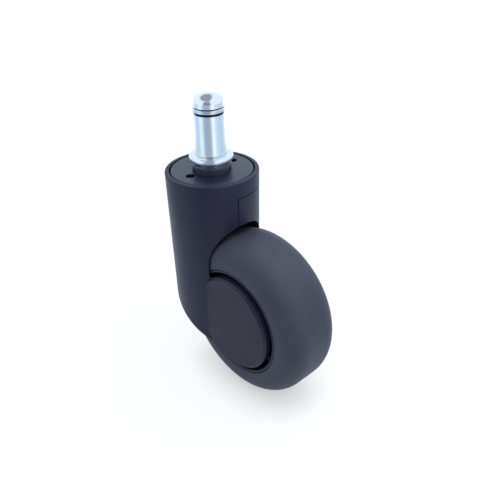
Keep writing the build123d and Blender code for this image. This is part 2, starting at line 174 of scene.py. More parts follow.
class CastorStage(bpy.types.PropertyGroup):
    """Camera, floor and lamps."""
    azimuth: slant("Azimuth", "Camera's angle round the castor", 48.859)
    elevation: slant("Elevation", "Camera's angle above the floor", 30.663)
    roll: slant("Roll", "Camera's turn about its own line of sight", -1.839)
    distance: length("Distance", "Camera's distance from the point it looks past", 229.588 * MM)
    across: shift("Across", "How far the view moves sideways", -9.611 * MM)
    upward: shift("Upward", "How far the view moves upwards", 1.048 * MM)
    look_height: shift("Look height", "Height of the point that the camera looks past", -36.0 * MM)
    lens: FloatProperty(
        name="Lens", description="Focal length in millimetres on a 36 mm sensor", default=43.235, min=1,
    )
    floor_white: share("Floor white", "How much of the floor's white doesn't depend on the lamps", 0.80)
    contact_reach: length("Contact reach", "How far the floor's contact shadow reaches", 13 * MM)
    contact_depth: share("Contact depth", "How dark the floor's contact shadow gets", 0.45)
    world_level: FloatProperty(name="World", description="Light from all round", default=0.5, min=0)
    key_power: watts("Key", "Power of the large lamp above", 2.6)
    fill_power: watts("Fill", "Power of the soft lamp on the left", 0.6)
    side_power: watts("Side", "Power of the lamp on the right", 0.6)
    tent_radius: length("Tent radius", "Radius of the tent that shows only in gloss", 135 * MM)
    tent_height: length("Tent height", "Height of that tent above the floor", 600 * MM)


# Shader groups that more than one material uses

# The share of small pits in the moulded grain, beside its fine noise
PIT_SHARE = 0.35

# How far a bevelled normal has to bend for an edge to begin, and to be there in full
EDGE_BENDS = (0.02, 0.22)


def new_group(name, sockets):
    """An empty shader node group with named inputs and outputs."""
    group = bpy.data.node_groups.new(name, "ShaderNodeTree")
    for label, in_out, kind, default in sockets:
        socket = group.interface.new_socket(name=label, in_out=in_out, socket_type=kind)
        if default is not None:
            socket.default_value = default
    entry = group.nodes.new("NodeGroupInput")
    leave = group.nodes.new("NodeGroupOutput")
    return group, entry, leave


class Wiring:
    """Adds nodes to a tree and joins them with few words."""

    def __init__(self, tree):
        self.tree = tree

    def node(self, kind, inputs=None, **settings):
        made = self.tree.nodes.new(kind)
        for key, value in settings.items():
            setattr(made, key, value)
        for key, value in (inputs or {}).items():
            self.give(made.inputs[key], value)
        return made

    def give(self, socket, value):
        if isinstance(value, bpy.types.NodeSocket):
            self.tree.links.new(value, socket)
        else:
            socket.default_value = value

    def maths(self, operation, *values):
        made = self.node("ShaderNodeMath", operation=operation)
        for socket, value in zip(made.inputs, values):
            self.give(socket, value)
        return made.outputs[0]

    def ramp(self, value, start, end, top=1.0):
        """Nought up to the start, rising to the top at the end, and no further."""
        limits = {"Value": value, "From Min": start, "From Max": end, "To Max": top}
        return self.node("ShaderNodeMapRange", limits, clamp=True).outputs["Result"]


def grain_group():
    """Fine spark-eroded grain with slow changes of gloss, as moulded plastic has."""
    group, entry, leave = new_group("Moulded Grain", [
        ("Grain Size", "INPUT", "NodeSocketFloat", 0.0002),
        ("Roughness", "INPUT", "NodeSocketFloat", 0.45),
        ("Roughness Change", "INPUT", "NodeSocketFloat", 0.05),
        ("Height", "OUTPUT", "NodeSocketFloat", None),
        ("Roughness", "OUTPUT", "NodeSocketFloat", None),
        ("Cloud", "OUTPUT", "NodeSocketFloat", None),
    ])
    w = Wiring(group)
    place = w.node("ShaderNodeTexCoord").outputs["Object"]
    scale = w.maths("DIVIDE", 1.0, entry.outputs["Grain Size"])
    grain = w.node("ShaderNodeTexNoise", {"Vector": place, "Scale": scale, "Detail": 3.0, "Roughness": 0.6})
    pits = w.node("ShaderNodeTexVoronoi", {"Vector": place, "Scale": scale}, feature="SMOOTH_F1")
    fine = w.maths("MULTIPLY", grain.outputs["Fac"], 1 - PIT_SHARE)
    height = w.maths("ADD", fine, w.maths("MULTIPLY", pits.outputs["Distance"], PIT_SHARE))
    cloud = w.node("ShaderNodeTexNoise", {"Vector": place, "Scale": 90.0, "Detail": 4.0, "Roughness": 0.55})
    swing = w.maths("MULTIPLY", w.maths("SUBTRACT", cloud.outputs["Fac"], 0.5), 2.0)
    change = w.maths("MULTIPLY", swing, entry.outputs["Roughness Change"])
    rough = w.maths("ADD", entry.outputs["Roughness"], change)
    w.give(leave.inputs["Height"], height)
    w.give(leave.inputs["Roughness"], rough)
    w.give(leave.inputs["Cloud"], cloud.outputs["Fac"])
    return group


def edge_group():
    """A mask of the outer edges, where handling polishes the surface and where the materials paint a
    highlight.
    """
    group, entry, leave = new_group("Rubbed Edge Highlight", [
        ("Width", "INPUT", "NodeSocketFloat", 0.0004),
        ("Breaks", "INPUT", "NodeSocketFloat", 0.35),
        ("Mask", "OUTPUT", "NodeSocketFloat", None),
    ])
    w = Wiring(group)
    bevel = w.node("ShaderNodeBevel", {"Radius": entry.outputs["Width"]}, samples=6)
    facing = w.node("ShaderNodeNewGeometry").outputs["Normal"]
    same = w.node("ShaderNodeVectorMath", {0: bevel.outputs["Normal"], 1: facing}, operation="DOT_PRODUCT")
    bend = w.maths("SUBTRACT", 1.0, same.outputs["Value"])
    place = w.node("ShaderNodeTexCoord").outputs["Object"]
    broken = w.node("ShaderNodeTexNoise", {"Vector": place, "Scale": 900.0, "Detail": 3.0})
    kept = w.maths("SUBTRACT", 1.0, w.maths("MULTIPLY", broken.outputs["Fac"], entry.outputs["Breaks"]))
    w.give(leave.inputs["Mask"], w.maths("MULTIPLY", w.ramp(bend, *EDGE_BENDS), kept))
    return group


def from_axis(w, parts):
    """How far a place lies from the stem's axis."""
    flat = w.node("ShaderNodeCombineXYZ", {"X": parts.outputs["X"], "Y": parts.outputs["Y"], "Z": 0.0})
    return w.node("ShaderNodeVectorMath", {0: flat.outputs["Vector"]}, operation="LENGTH").outputs["Value"]


def turned_group():
    """Fine rings that a lathe leaves round the stem's axis, with the plating's slow change of tint."""
    group, entry, leave = new_group("Turned Rings", [
        ("Ring Size", "INPUT", "NodeSocketFloat", 0.00012),
        ("Height", "OUTPUT", "NodeSocketFloat", None),
        ("Tint", "OUTPUT", "NodeSocketFloat", None),
    ])
    w = Wiring(group)
    place = w.node("ShaderNodeTexCoord").outputs["Object"]
    parts = w.node("ShaderNodeSeparateXYZ", {"Vector": place})
    along = w.node("ShaderNodeCombineXYZ", {"X": from_axis(w, parts), "Y": 0.0, "Z": parts.outputs["Z"]})
    scale = w.maths("DIVIDE", 1.0, entry.outputs["Ring Size"])
    rings = w.node("ShaderNodeTexNoise", {"Vector": along.outputs["Vector"], "Scale": scale, "Detail": 2.0})
    tint = w.node("ShaderNodeTexNoise", {"Vector": place, "Scale": 160.0, "Detail": 3.0, "Distortion": 0.6})
    w.give(leave.inputs["Height"], rings.outputs["Fac"])
    w.give(leave.inputs["Tint"], tint.outputs["Fac"])
    return group


SHARED = {"Moulded Grain": grain_group, "Rubbed Edge Highlight": edge_group, "Turned Rings": turned_group}


def shared_groups():
    """The shader groups, built once."""
    return {name: bpy.data.node_groups.get(name) or build() for name, build in SHARED.items()}


def bare_material(name):
    material = bpy.data.materials.new(name)
    material.use_nodes = True
    material.node_tree.nodes.clear()
    return material, Wiring(material.node_tree)


def new_material(name):
    material, w = bare_material(name)
    shader = w.node("ShaderNodeBsdfPrincipled")
    out = w.node("ShaderNodeOutputMaterial")
    w.give(out.inputs["Surface"], shader.outputs["BSDF"])
    return material, w, shader


def blend_colours(w, factor, first, second):
    """A colour between two, by a factor that changes over the surface."""
    mix = w.node("ShaderNodeMix", data_type="RGBA")
    w.give(mix.inputs[0], factor)
    w.give(mix.inputs[6], first if isinstance(first, bpy.types.NodeSocket) else (*first, 1))
    w.give(mix.inputs[7], second if isinstance(second, bpy.types.NodeSocket) else (*second, 1))
    return mix.outputs[2]


# How much a moulded surface changes: its slow clouds, its rubbed edges with their painted highlight, and
# the painted shade and duller finish on the side discs' faces
CLOUD_SPAN = (0.35, 0.65)
CLOUD_CHANGE = 0.07
EDGE_HIGHLIGHT_SHARE = 0.25
EDGE_HIGHLIGHT_PALER = 1.5
EDGE_SMOOTHER = 0.04
DISC_SHADE_DARKER = 0.66
MATT_ROUGHER = 0.08


def toned(value, factor):
    """A colour made paler or darker by a factor."""
    return tuple(min(1.0, channel * factor) for channel in value)


def moulded(name, base, roughness, depth, grain_size, edge, specular=0.32, sheen=0.0, coat=0.0,
            gloss_tint=(0.84, 0.90, 1.0), matt_and_shade=None):
    """A moulded plastic or rubber: base colour with slow clouds, grain, lightly rubbed edges painted paler
    as a painted highlight, and painted shade where a mask gives it.
    """
    groups = shared_groups()
    material, w, shader = new_material(name)
    grain = w.node("ShaderNodeGroup", node_tree=groups["Moulded Grain"])
    grain.inputs["Grain Size"].default_value = grain_size
    grain.inputs["Roughness"].default_value = roughness
    grain.inputs["Roughness Change"].default_value = 0.06
    rubbed_highlit_edge = w.node("ShaderNodeGroup", node_tree=groups["Rubbed Edge Highlight"])
    rubbed_highlit_edge.inputs["Width"].default_value = edge
    rubbed_highlit_edge.inputs["Breaks"].default_value = 0.45
    cloud = w.ramp(grain.outputs["Cloud"], *CLOUD_SPAN)
    body = blend_colours(w, cloud, toned(base, 1 - CLOUD_CHANGE), toned(base, 1 + CLOUD_CHANGE))
    # Paler rubbed edges: a painted highlight
    edge_highlight = w.maths("MULTIPLY", rubbed_highlit_edge.outputs["Mask"], EDGE_HIGHLIGHT_SHARE)
    tone_with_painted_light = blend_colours(w, edge_highlight, body, toned(base, EDGE_HIGHLIGHT_PALER))
    bump = w.node("ShaderNodeBump", {"Height": grain.outputs["Height"], "Distance": depth, "Strength": 1.0})
    polish = w.maths("MULTIPLY", rubbed_highlit_edge.outputs["Mask"], EDGE_SMOOTHER)
    smooth = w.maths("SUBTRACT", grain.outputs["Roughness"], polish)
    # Painted shade on the side discs' faces, which are also rougher
    if matt_and_shade:
        flat = matt_and_shade(w)
        tone_with_painted_light = blend_colours(w, flat, tone_with_painted_light, toned(base, DISC_SHADE_DARKER))
        smooth = w.maths("ADD", smooth, w.maths("MULTIPLY", flat, MATT_ROUGHER))
    w.give(shader.inputs["Base Color"], tone_with_painted_light)
    w.give(shader.inputs["Roughness"], smooth)
    w.give(shader.inputs["Normal"], bump.outputs["Normal"])
    shader.inputs["Specular IOR Level"].default_value = specular
    shader.inputs["Specular Tint"].default_value = (*gloss_tint, 1)
    shader.inputs["Sheen Weight"].default_value = sheen
    shader.inputs["Sheen Roughness"].default_value = 0.4
    shader.inputs["Coat Weight"].default_value = coat
    shader.inputs["Coat Roughness"].default_value = 0.08
    return material


# The noise over which the plating's tint changes, how much plain steel shows in it, and how much the
# turned rings change its gloss
TINT_SPAN = (0.3, 0.7)
STEEL_SHARE = 0.5
RING_ROUGHNESS = 0.10

# The plating's painted highlight on its rubbed edges and its painted shade in its hollows, and how much
# rougher it is in these
PLATED_EDGE_HIGHLIGHT = (0.92, 0.93, 0.95)
PLATED_HIGHLIGHT_SHARE = 0.4
PLATED_HOLLOW_SHADE = (0.035, 0.045, 0.06)
HOLLOW_ROUGHER = 0.3


def plated(name, base, roughness, ring_size, depth, cool, warm, hollow_shade=None):
    """Bright plated steel with turned rings, faint tints in the plating, soft edges with a painted
    highlight, and painted shade in hollows where a mask gives it.
    """
    groups = shared_groups()
    material, w, shader = new_material(name)
    rings = w.node("ShaderNodeGroup", node_tree=groups["Turned Rings"])
    rings.inputs["Ring Size"].default_value = ring_size
    rubbed_highlit_edge = w.node("ShaderNodeGroup", node_tree=groups["Rubbed Edge Highlight"])
    rubbed_highlit_edge.inputs["Width"].default_value = 0.0002
    rubbed_highlit_edge.inputs["Breaks"].default_value = 0.3
    plating = blend_colours(w, w.ramp(rings.outputs["Tint"], *TINT_SPAN), cool, warm)
    body = blend_colours(w, STEEL_SHARE, plating, base)
    # Paler rubbed edges: a painted highlight
    edge_highlight = w.maths("MULTIPLY", rubbed_highlit_edge.outputs["Mask"], PLATED_HIGHLIGHT_SHARE)
    tone_with_painted_light = blend_colours(w, edge_highlight, body, PLATED_EDGE_HIGHLIGHT)
    change = w.maths("MULTIPLY", w.maths("SUBTRACT", rings.outputs["Height"], 0.5), RING_ROUGHNESS)
    rough = w.maths("ADD", change, roughness)
    # Painted shade in the hollows, which are also rougher
    if hollow_shade:
        hollow_shaded = hollow_shade(w)
        tone_with_painted_light = blend_colours(w, hollow_shaded, tone_with_painted_light, PLATED_HOLLOW_SHADE)
        rough = w.maths("ADD", rough, w.maths("MULTIPLY", hollow_shaded, HOLLOW_ROUGHER))
    w.give(shader.inputs["Base Color"], tone_with_painted_light)
    w.give(shader.inputs["Roughness"], rough)
    bump = w.node("ShaderNodeBump", {"Height": rings.outputs["Height"], "Distance": depth, "Strength": 1.0})
    w.give(shader.inputs["Normal"], bump.outputs["Normal"])
    shader.inputs["Metallic"].default_value = 1.0
    return material


# How dark the painted shade is on the line at the shank's foot, beside that in the ring's groove
FOOT_LINE_SHADE = 0.45


def stem_hollow_shade(w):
    """Painted shade: a mask in the ring's groove and, fainter, on the line where the shank meets the
    collar.
    """
    sizes = bpy.context.scene.castor_stem
    shank = sizes.shank
    parts = w.node("ShaderNodeSeparateXYZ", {"Vector": w.node("ShaderNodeTexCoord").outputs["Object"]})
    reach = from_axis(w, parts)
    inside = w.ramp(reach, shank - 0.1 * MM, shank - 0.3 * MM)
    above = w.maths("GREATER_THAN", parts.outputs["Z"], sizes.groove_low - 0.2 * MM)
    below = w.maths("LESS_THAN", parts.outputs["Z"], sizes.groove_high + 0.2 * MM)
    groove = w.maths("MULTIPLY", inside, w.maths("MULTIPLY", above, below))
    aside = w.maths("ABSOLUTE", w.maths("SUBTRACT", reach, shank))
    far = w.maths("MAXIMUM", aside, w.maths("ABSOLUTE", parts.outputs["Z"]))
    return w.maths("MAXIMUM", groove, w.ramp(far, 0.45 * MM, 0.1 * MM, FOOT_LINE_SHADE))


def disc_face_shade(w):
    """One on the flat faces of the two side discs, which are painted darker as painted shade and given a
    duller finish.
    """
    look = finish()
    place = w.node("ShaderNodeTexCoord").outputs["Object"]
    from_axle = w.node("ShaderNodeVectorMath", {0: place, 1: AXLE}, operation="SUBTRACT").outputs["Vector"]
    parts = w.node("ShaderNodeSeparateXYZ", {"Vector": from_axle})
    beside = w.maths("SUBTRACT", w.maths("ABSOLUTE", parts.outputs["Y"]), look.disc_face)
    in_plane = w.node("ShaderNodeVectorMath", {0: from_axle, 1: (1.0, 0.0, 1.0)}, operation="MULTIPLY")
    reach = w.node("ShaderNodeVectorMath", {0: in_plane.outputs["Vector"]}, operation="LENGTH")
    on_face = w.ramp(w.maths("ABSOLUTE", beside), 0.3 * MM, 0.1 * MM)
    round_disc = w.ramp(reach.outputs["Value"], look.disc_radius, look.disc_radius - 2 * MM)
    return w.maths("MULTIPLY", on_face, round_disc)


def finish():
    """The colours and surfaces set in the panel."""
    return bpy.context.scene.castor_finish


def dress(nodes, material):
    """Gives CAD nodes a material in their own slots."""
    for name in nodes:
        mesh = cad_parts[name].data
        mesh.materials.clear()
        mesh.materials.append(material)


# Geometry Nodes: an outline turned about an axis

def turned_tree():
    """Turns an outline, drawn as (radius, place along), about an axle across or about an upright axis."""
    tree = bpy.data.node_groups.get("Turned Outline")
    if tree:
        return tree
    tree = bpy.data.node_groups.new("Turned Outline", "GeometryNodeTree")
    face = tree.interface
    for label, kind, default in (
        ("Outline", "NodeSocketObject", None),
        ("Outline Points", "NodeSocketInt", 3),
        ("Closed", "NodeSocketBool", True),
        ("Upright", "NodeSocketBool", False),
        ("Segments", "NodeSocketInt", 192),
        ("Place", "NodeSocketVector", (0.0, 0.0, 0.0)),
        ("Material", "NodeSocketMaterial", None),
    ):
        socket = face.new_socket(name=label, in_out="INPUT", socket_type=kind)
        if default is not None:
            socket.default_value = default
    face.new_socket(name="Geometry", in_out="OUTPUT", socket_type="NodeSocketGeometry")
    w = Wiring(tree)
    entry = w.node("NodeGroupInput").outputs
    leave = w.node("NodeGroupOutput")
    outline = w.node("GeometryNodeObjectInfo", {"Object": entry["Outline"]}, transform_space="ORIGINAL")
    drawn = w.node("GeometryNodeCurveToMesh", {"Curve": outline.outputs["Geometry"]})
    across = w.maths("ADD", entry["Outline Points"], entry["Closed"])
    around = w.maths("ADD", entry["Segments"], 1.0)
    spread = {"Size X": 1.0, "Size Y": 1.0, "Vertices X": across, "Vertices Y": around}
    grid = w.node("GeometryNodeMeshGrid", spread)
    where = w.node("GeometryNodeInputPosition").outputs["Position"]
    spot = w.node("ShaderNodeSeparateXYZ", {"Vector": where})
    column = w.maths("MULTIPLY", w.maths("ADD", spot.outputs["X"], 0.5), w.maths("SUBTRACT", across, 1.0))
    point = w.maths("MODULO", w.maths("ROUND", column), entry["Outline Points"])
    turn = w.maths("MULTIPLY", w.maths("ADD", spot.outputs["Y"], 0.5), 2 * math.pi)
    sample = w.node("GeometryNodeSampleIndex", data_type="FLOAT_VECTOR", domain="POINT")
    w.give(sample.inputs["Geometry"], drawn.outputs["Mesh"])
    w.give(sample.inputs["Value"], where)
    w.give(sample.inputs["Index"], point)
    profile = w.node("ShaderNodeSeparateXYZ", {"Vector": sample.outputs["Value"]})
    reach, along = profile.outputs["X"], profile.outputs["Y"]
    first = w.maths("MULTIPLY", reach, w.maths("COSINE", turn))
    second = w.maths("MULTIPLY", reach, w.maths("SINE", turn))
    lying = w.node("ShaderNodeCombineXYZ", {"X": first, "Y": along, "Z": second})
    standing = w.node("ShaderNodeCombineXYZ", {"X": first, "Y": second, "Z": along})
    chosen = w.node("GeometryNodeSwitch", {"Switch": entry["Upright"], "False": lying.outputs["Vector"],
                                           "True": standing.outputs["Vector"]}, input_type="VECTOR")
    both = {0: chosen.outputs["Output"], 1: entry["Place"]}
    moved = w.node("ShaderNodeVectorMath", both, operation="ADD")
    made = grid.outputs["Mesh"]
    for kind, settings in (
        ("GeometryNodeSetPosition", {"Position": moved.outputs["Vector"]}),
        ("GeometryNodeMergeByDistance", {"Distance": 1e-7}),
        ("GeometryNodeSetShadeSmooth", {"Shade Smooth": True}),
        ("GeometryNodeRealizeInstances", {}),
        ("GeometryNodeSetMaterial", {"Material": entry["Material"]}),
    ):
        made = w.node(kind, {"Geometry": made, **settings}).outputs["Geometry"]
    w.give(leave.inputs["Geometry"], made)
    return tree


def socket_names(tree):
    """Each input's identifier by its name."""
    return {item.name: item.identifier for item in tree.interface.items_tree if item.in_out == "INPUT"}


def outline_curve(name, points, closed):
    """A curve of straight pieces through the points."""
    curve = bpy.data.curves.new(name, "CURVE")
    curve.dimensions = "3D"
    spline = curve.splines.new("POLY")
    spline.points.add(len(points) - 1)
    for point, (radius, width) in zip(spline.points, points):
        point.co = (radius, width, 0, 1)
    spline.use_cyclic_u = closed
    made = bpy.data.objects.new(name, curve)
    bpy.context.scene.collection.objects.link(made)
    return made


def arc(centre, radius, start, end, count):
    """Points along an arc, by angles in degrees."""
    found = []
    for step in range(count + 1):
        angle = math.radians(start + (end - start) * step / count)
        found.append((centre[0] + radius * math.cos(angle), centre[1] + radius * math.sin(angle)))
    return found


def tyre_outline(sizes):
    """The tyre's closed outline as (radius, width), from the middle of the tread and round to it again."""
    crown = WHEEL_RADIUS - sizes.seam_height
    half = TYRE_HALF
    corner = sizes.shoulder
    small = sizes.bead_round
    flat = half - corner
    upper = [(WHEEL_RADIUS, 0), (WHEEL_RADIUS, sizes.seam_width * 0.15), (crown, sizes.seam_width / 2)]
    upper += [(crown, flat * step / 8) for step in range(1, 8)]
    upper += arc((crown - corner, flat), corner, 0, 90, 36)
    upper += arc((sizes.bead_radius + small, half - small), small, 90, 180, 5)
    upper += [(sizes.bead_radius, sizes.bead_half)]
    upper += [(sizes.seat_radius, sizes.seat_half), (sizes.seat_radius, sizes.seat_half / 3)]
    lower = [(radius, -width) for radius, width in reversed(upper[1:])]
    return upper + lower


def stem_outline(sizes):
    """The stem's open outline as (radius, height), from its tip on the axis down to its end on the axis."""
    shank, tip, foot = sizes.shank, sizes.tip_round, sizes.foot_round
    edge = sizes.collar - sizes.collar_round
    under = -sizes.collar_thick
    slope = sizes.tip_slope
    dome = (shank - tip) / math.sin(slope) + tip
    edge_centre = (shank - tip, STEM_TOP - dome + (dome - tip) * math.cos(slope))
    turn = 90 - math.degrees(slope)
    points = arc((0, STEM_TOP - dome), dome, 90, turn, 8)
    points += arc(edge_centre, tip, turn, 0, 24)[1:]
    points += [(shank, sizes.groove_high), (shank - sizes.groove_depth, sizes.groove_high)]
    points += [(shank - sizes.groove_depth, sizes.groove_low), (shank, sizes.groove_low)]
    points += arc((shank + foot, foot), foot, 180, 270, 5)
    points += arc((edge, -sizes.collar_round), sizes.collar_round, 90, 0, 12)
    points += arc((edge, under + sizes.collar_round), sizes.collar_round, 0, -90, 12)
    points += [(sizes.neck, under), (sizes.neck, -sizes.neck_drop), (sizes.journal, -sizes.neck_drop)]
    journal, clip = sizes.journal, -sizes.clip_drop
    groove, chamfer = journal - sizes.clip_depth, sizes.journal_chamfer
    points += [(journal, clip), (groove, clip)]
    points += [(groove, clip - sizes.clip_height), (journal, clip - sizes.clip_height)]
    points += [(journal, STEM_LOW + chamfer), (journal - chamfer, STEM_LOW)]
    return points + [(0, STEM_LOW)]


def turned_piece(name, points, closed, upright, segments, place, material):
    """A piece turned from an outline, as a plain mesh with sharp edges where the outline has corners."""
    outline = outline_curve(name + "_outline", points, closed)
    tree = turned_tree()
    names = socket_names(tree)
    blank = bpy.data.objects.new(name + "_source", bpy.data.meshes.new(name + "_source"))
    bpy.context.scene.collection.objects.link(blank)
    turned = blank.modifiers.new("Turned", "NODES")
    turned.node_group = tree
    settings = {"Outline": outline, "Outline Points": len(points), "Closed": closed, "Upright": upright,
                "Segments": segments, "Place": place, "Material": material}
    for label, value in settings.items():
        turned[names[label]] = value
    piece = plain_mesh(blank, name)
    bpy.data.objects.remove(blank)
    bpy.data.objects.remove(outline)
    if not piece.data.polygons:
        raise RuntimeError("the outline of " + name + " gave no faces")
    face_outwards(piece)
    piece.data.set_sharp_from_angle(angle=math.radians(32))
    return piece


def plain_mesh(source, name):
    """The evaluated object as a plain mesh object with no modifier, its place in its mesh."""
    graph = bpy.context.evaluated_depsgraph_get()
    mesh = bpy.data.meshes.new_from_object(source.evaluated_get(graph))
    made = bpy.data.objects.new(name, mesh)
    bpy.context.scene.collection.objects.link(made)
    return made


def face_outwards(piece):
    """Turns a closed mesh so that its faces point outwards."""
    mesh = piece.data
    volume = 0.0
    mesh.calc_loop_triangles()
    for triangle in mesh.loop_triangles:
        a, b, c = (mesh.vertices[index].co for index in triangle.vertices)
        volume += a.dot(b.cross(c))
    if volume < 0:
        mesh.flip_normals()


# The plating's two tints, on the stem and on the smaller steel parts
ZINC_BLUE = linear(218, 232, 248)
ZINC_STRAW = linear(244, 242, 244)
SPRING_BLUE = linear(206, 216, 230)
SPRING_STRAW = linear(224, 222, 222)

# Width of the turned rings on each, and their depth
ZINC_RINGS = 0.16 * MM
SPRING_RINGS = 0.2 * MM
PLATING_DEPTH = 0.0015 * MM

# Depth, size and worn edge of the small plastic parts' grain
SMALL_DEPTH = 0.003 * MM
SMALL_GRAIN = 0.3 * MM
SMALL_EDGE = 0.2 * MM


class CASTOR_OT_stem(bpy.types.Operator):
    """Turns the stem with its domed tip, and gives it and the other steel parts their plating"""
    bl_idname = "castor.stem"
    bl_label = "Stem"

    def execute(self, context):
        look = finish()
        sizes = context.scene.castor_stem
        rough = look.zinc_roughness
        # The zinc gets painted shade in the ring's groove and at the shank's foot
        zinc = plated("blue_zinc_plate", look.zinc_colour[:], rough, ZINC_RINGS, PLATING_DEPTH,
                      ZINC_BLUE, ZINC_STRAW, stem_hollow_shade)
        spring = plated("spring_steel", look.spring_colour[:], rough + 0.04, SPRING_RINGS, PLATING_DEPTH,
                        SPRING_BLUE, SPRING_STRAW)
        outline = stem_outline(sizes)
        stem = turned_piece("plated_stem", outline, False, True, sizes.turns, (0.0, 0.0, 0.0), zinc)
        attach(stem, "stem")
        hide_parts("stem")
        dress(["snap_ring", "stem_clip", "cheek_screws", "axle_screw", "axle", "hub_washers"], spring)
        return {"FINISHED"}


class CASTOR_OT_hood(bpy.types.Operator):
    """Gives the hood, its cheek, its cap and the axle plug their moulded plastic"""
    bl_idname = "castor.hood"
    bl_label = "Hood"

    def execute(self, context):
        look = finish()
        # The hood's side discs get painted shade on their faces
        plastic = moulded("hood_plastic", look.housing_colour[:], look.housing_roughness, look.grain_depth,
                          look.grain_size, look.edge_width, matt_and_shade=disc_face_shade)
        cap = moulded("cap_plastic", look.cap_colour[:], look.housing_roughness - 0.06, look.grain_depth,
                      look.grain_size, look.edge_width, specular=0.75, gloss_tint=(0.74, 0.80, 1.0))
        dress(["housing", "cheek", "axle_plug"], plastic)
        dress(["top_cap"], cap)
        return {"FINISHED"}


class CASTOR_OT_bearing(bpy.types.Operator):
    """Finishes the washer and the bushes of the swivel and the hub"""
    bl_idname = "castor.bearing"
    bl_label = "Bearing"

    def execute(self, context):
        look = finish()
        dark, pale = look.washer_colour[:], look.bush_colour[:]
        washer = moulded("washer_plastic", dark, 0.25, 0.002 * MM, 0.4 * MM, SMALL_EDGE, coat=1.0)
        flange = moulded("flange_plastic", dark, 0.25, SMALL_DEPTH, SMALL_GRAIN, SMALL_EDGE, coat=1.0)
        bush = moulded("bush_plastic", pale, 0.35, SMALL_DEPTH, SMALL_GRAIN, SMALL_EDGE)
        dress(["thrust_washer"], washer)
        dress(["upper_bush"], flange)
        dress(["lower_bush", "hub_bush_near", "hub_bush_far"], bush)
        return {"FINISHED"}


class CASTOR_OT_core(bpy.types.Operator):
    """Gives the wheel's hard core its plastic"""
    bl_idname = "castor.core"
    bl_label = "Wheel core"

    def execute(self, context):
        look = finish()
        depth = look.grain_depth * 0.7
        plastic = moulded("core_plastic", look.core_colour[:], look.housing_roughness, depth,
                          look.grain_size, look.edge_width)
        dress(["wheel_core"], plastic)
        return {"FINISHED"}


class CASTOR_OT_tyre(bpy.types.Operator):
    """Turns the soft tyre about the axle, with the faint line where its mould parts"""
    bl_idname = "castor.tyre"
    bl_label = "Tyre"

    def execute(self, context):
        look = finish()
        sizes = context.scene.castor_tyre
        rubber = moulded("soft_tyre", look.tyre_colour[:], look.tyre_roughness, look.grain_depth,
                         look.grain_size * 0.8, look.edge_width, specular=0.3, sheen=0.05)
        tyre = turned_piece("soft_tyre", tyre_outline(sizes), True, False, sizes.turns, AXLE, rubber)
        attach(tyre, "wheel")
        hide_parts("tyre")
        return {"FINISHED"}


def aim(thing, target):
    """Points a lamp at a place."""
    thing.rotation_euler = (Vector(target) - thing.location).to_track_quat("-Z", "Y").to_euler()


# What the tent's wall shows in the gloss of upright surfaces, by angle from the camera's side to the right
TENT_TONES = (
    (-180, (1.40, 1.50, 1.60)),
    (-128, (0.80, 0.92, 1.00)),
    (-104, (0.60, 0.76, 0.94)),
    (-86, (0.60, 0.74, 0.90)),
    (-70, (0.84, 1.04, 1.08)),
    (-54, (0.82, 1.02, 1.08)),
    (-34, (0.40, 0.50, 0.62)),
    (-6, (0.37, 0.46, 0.57)),
    (8, (0.42, 0.52, 0.66)),
    (26, (1.02, 1.14, 1.14)),
    (36, (1.00, 1.12, 1.12)),
    (50, (0.66, 0.84, 1.02)),
    (94, (0.56, 0.70, 0.86)),
    (130, (0.76, 0.88, 0.98)),
    (180, (1.40, 1.50, 1.60)),
)

# What it shows above these, in its hem near the floor, and low and high in the gap where the camera stands,
# and the tone of the card overhead
TENT_WHITE = (0.86, 1.00, 1.08)
HEM_TONE = (0.14, 0.16, 0.24)
GAP_TONE = (0.23, 0.25, 0.32)
GAP_TOP_TONE = (0.37, 0.41, 0.49)
CARD_TONE = (0.32, 0.33, 0.41)

# Heights above the floor, in metres, from which and up to which each of these comes in, pales or ends
WHITE_STARTS = (0.085, 0.110)
HEM_STARTS = (0.026, 0.030)
HEM_ENDS = (0.048, 0.044)
GAP_STARTS = (0.086, 0.112)
GAP_PALES = (0.15, 0.22)

# How strong the hem is, and the gap's half width and its turn to the left, in radians
HEM_SHARE = 0.75
GAP_SIDES = (0.52, 0.40)
GAP_TURN = 0.16
TENT_SIDES = 96

# The card over the stem: its height above the tip, and its corners as seen from the camera, in metres to
# the right and towards it
CARD_RISE = 0.075
CARD_CORNERS = ((-0.058, 0.036), (0.023, 0.036), (0.006, -0.131), (-0.028, -0.131))

# The sky's tone, the floor's paint for light and for eyes, and its tone in gloss
SKY_TONE = (0.90, 0.95, 1.0)
FLOOR_PAINT = (0.42, 0.45, 0.49)
FLOOR_SEEN = (0.25, 0.27, 0.29)
FLOOR_MIRRORED = (0.88, 0.96, 1.06)

# How far the floor goes, where it turns all white, and how far and how dark its shade is in gloss
FLOOR_REACH = 12.0
OPEN_FLOOR = (0.3, 1.2)
MIRRORED_REACH = 0.09
MIRRORED_DEPTH = 0.8


def area_lamp(name, place, target, width, power, tone=(1, 1, 1)):
    light = bpy.data.lights.new(name, "AREA")
    light.shape = "SQUARE"
    light.size = width
    light.energy = power
    light.color = tone
    lamp = bpy.data.objects.new(name, light)
    bpy.context.scene.collection.objects.link(lamp)
    lamp.location = place
    lamp.visible_glossy = False
    aim(lamp, target)
    return lamp


def panel_mesh(name, corners):
    """One flat sheet of the stage from its four corners."""
    mesh = bpy.data.meshes.new(name)
    mesh.from_pydata(corners, [], [(0, 1, 2, 3)])
    sheet = bpy.data.objects.new(name, mesh)
    bpy.context.scene.collection.objects.link(sheet)
    return sheet


def only_in_gloss(sheet):
    sheet.visible_camera = False
    sheet.visible_diffuse = False
    sheet.visible_transmission = False
    sheet.visible_shadow = False


def seen_directly(w):
    """One for rays that come from the camera, a mirror or glass, nought for the rest."""
    path = w.node("ShaderNodeLightPath")
    either = w.maths("MAXIMUM", path.outputs["Is Camera Ray"], path.outputs["Is Glossy Ray"])
    return w.maths("MAXIMUM", either, path.outputs["Is Transmission Ray"])


